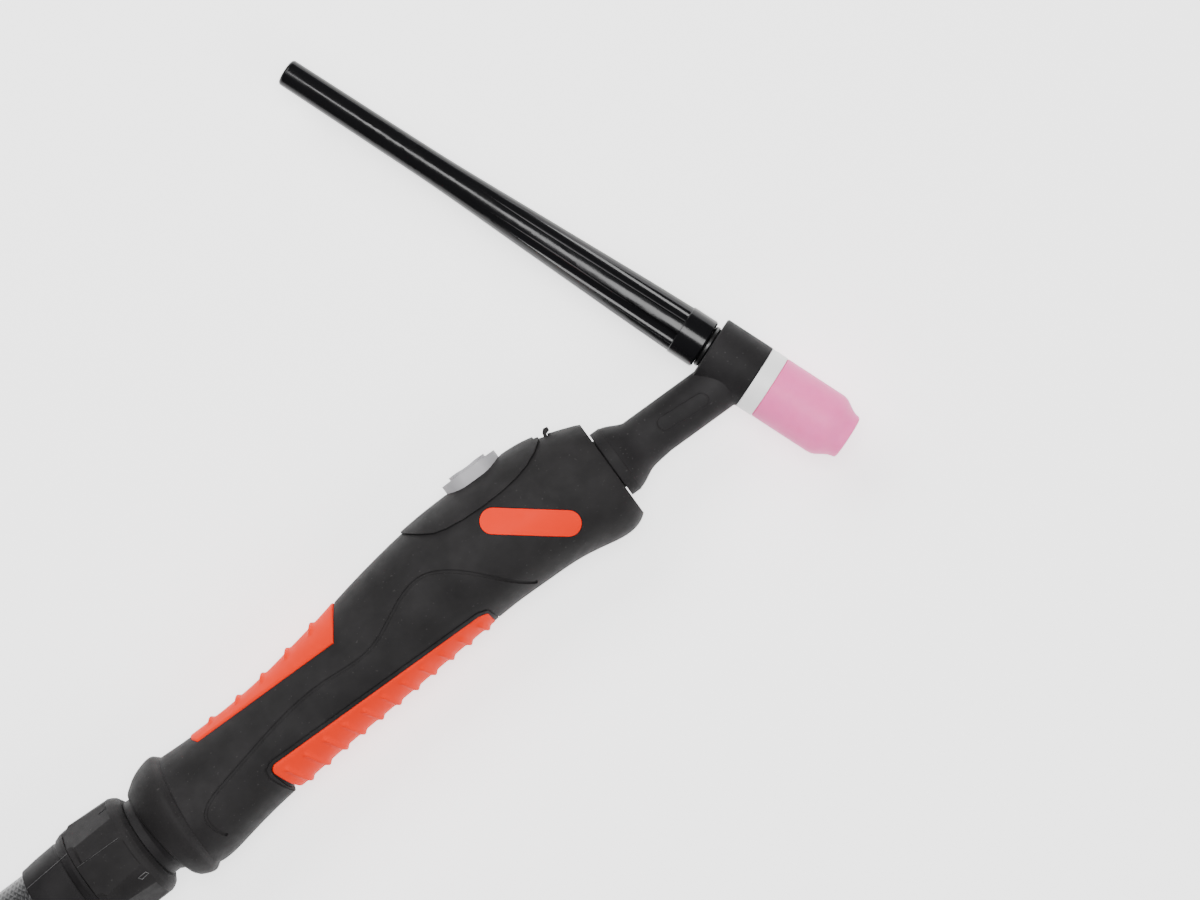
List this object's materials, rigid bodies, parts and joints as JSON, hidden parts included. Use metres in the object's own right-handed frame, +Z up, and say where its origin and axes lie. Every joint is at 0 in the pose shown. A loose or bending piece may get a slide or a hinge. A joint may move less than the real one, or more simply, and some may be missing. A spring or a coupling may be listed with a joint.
{
  "type": "tig torch",
  "caption": "Water-cooled TIG welding torch with a push-button grip, ball knuckle, long fluted back cap, pink ceramic cup and a covered hose package tied in a hank.",
  "frame": {"origin": "on the bench under the middle of the torch, hose package left out", "axes": "+X forward along the grip from the hose to the head, +Y across the grip towards its switch, +Z up off the bench that the torch lies on"},
  "size_m": [0.7553, 0.2455, 0.0574],
  "materials": {
    "grip_black": "soft matte",
    "knuckle_black": "matte",
    "insert_orange": "soft matte",
    "badge_orange": "satin",
    "button_grey": "matte",
    "insulation_black": "satin",
    "cap_black": "gloss",
    "ptfe_white": "satin",
    "cup_pink": "satin",
    "o_ring_black": "satin",
    "brass": "machined",
    "copper": "drawn",
    "steel": "satin",
    "switch_case": "matte",
    "cover_fabric": "woven",
    "hose_red": "satin",
    "hose_blue": "satin",
    "hose_black": "satin",
    "tie_black": "woven",
    "boot_rubber": "matte"
  },
  "bodies": {
    "hose_package": {"knuckle_ball": "knuckle_black", "clamp_nut": "grip_black", "cover_sleeve": "knuckle_black", "package_power_hose": "hose_red", "package_gas_hose": "hose_black", "package_water_hose": "hose_blue", "package_switch_cable": "hose_black", "hose_cover": "cover_fabric", "hose_coil": "cover_fabric", "coil_ties": "tie_black", "hose_tail": "cover_fabric", "breakout_boot": "boot_rubber", "power_lead": "hose_red", "gas_lead": "hose_black", "water_lead": "hose_blue", "control_lead": "hose_black", "power_plug_body": "boot_rubber", "power_plug_pin": "brass", "gas_fitting": "brass", "water_fitting": "brass", "control_plug": "switch_case"},
    "knuckle_seat": {"knuckle_seat_ring": "knuckle_black"},
    "handle": {"handle_left_shell": "grip_black", "handle_right_shell": "grip_black", "shell_screws": "steel", "upper_grip_insert": "insert_orange", "lower_grip_insert": "insert_orange", "name_badge": "badge_orange", "switch_housing": "grip_black", "switch_release_tab": "grip_black", "microswitch": "switch_case", "switch_wires": "hose_black", "head_insulation": "insulation_black", "head_core": "brass", "head_power_tube": "copper", "head_gas_tube": "copper", "head_water_tube": "copper", "tube_nuts": "brass", "handle_power_hose": "hose_red", "handle_gas_hose": "hose_black", "handle_water_hose": "hose_blue", "collet": "copper", "collet_body": "copper"},
    "trigger": {"trigger_button": "button_grey", "switch_plunger": "steel"},
    "back_cap_carrier": {"back_cap_o_ring": "o_ring_black"},
    "back_cap": {"back_cap": "cap_black"},
    "cup_carrier": {"insulator_ring": "ptfe_white"},
    "cup": {"ceramic_cup": "cup_pink"}
  },
  "joints": [
    {"name": "knuckle_tilt", "type": "hinge", "parent": "hose_package", "child": "knuckle_seat", "pos_m": [-0.0972, -0.06885, 0.02], "axis": [0, 0, 1], "range_deg": [-13, 4]},
    {"name": "knuckle_swivel", "type": "hinge", "parent": "knuckle_seat", "child": "handle", "pos_m": [-0.0972, -0.06885, 0.02], "axis": [0.9969, 0.0785, 0], "range_deg": [0, 90]},
    {"name": "trigger_press", "type": "slide", "parent": "handle", "child": "trigger", "axis": [0, -1, 0], "range_m": [0, 0.0012], "stiffness_N_per_m": 1500, "springref_m": -0.0006},
    {"name": "back_cap_travel", "type": "slide", "parent": "handle", "child": "back_cap_carrier", "axis": [-0.3567, 0.9342, 0], "range_m": [0, 0.00502]},
    {"name": "back_cap_unscrew", "type": "hinge", "parent": "back_cap_carrier", "child": "back_cap", "pos_m": [0.11617, -0.03972, 0.02], "axis": [-0.3567, 0.9342, 0], "range_deg": [0, 1800]},
    {"name": "cup_travel", "type": "slide", "parent": "handle", "child": "cup_carrier", "axis": [0.3567, -0.9342, 0], "range_m": [0, 0.01004]},
    {"name": "cup_unscrew", "type": "hinge", "parent": "cup_carrier", "child": "cup", "pos_m": [0.13043, -0.07708, 0.02], "axis": [0.3567, -0.9342, 0], "range_deg": [0, 2880]}
  ],
  "couplings": [
    {"joint": "back_cap_travel", "follows": "back_cap_unscrew", "m_per_rad": 0.00015915},
    {"joint": "cup_travel", "follows": "cup_unscrew", "m_per_rad": 0.00019894}
  ]
}
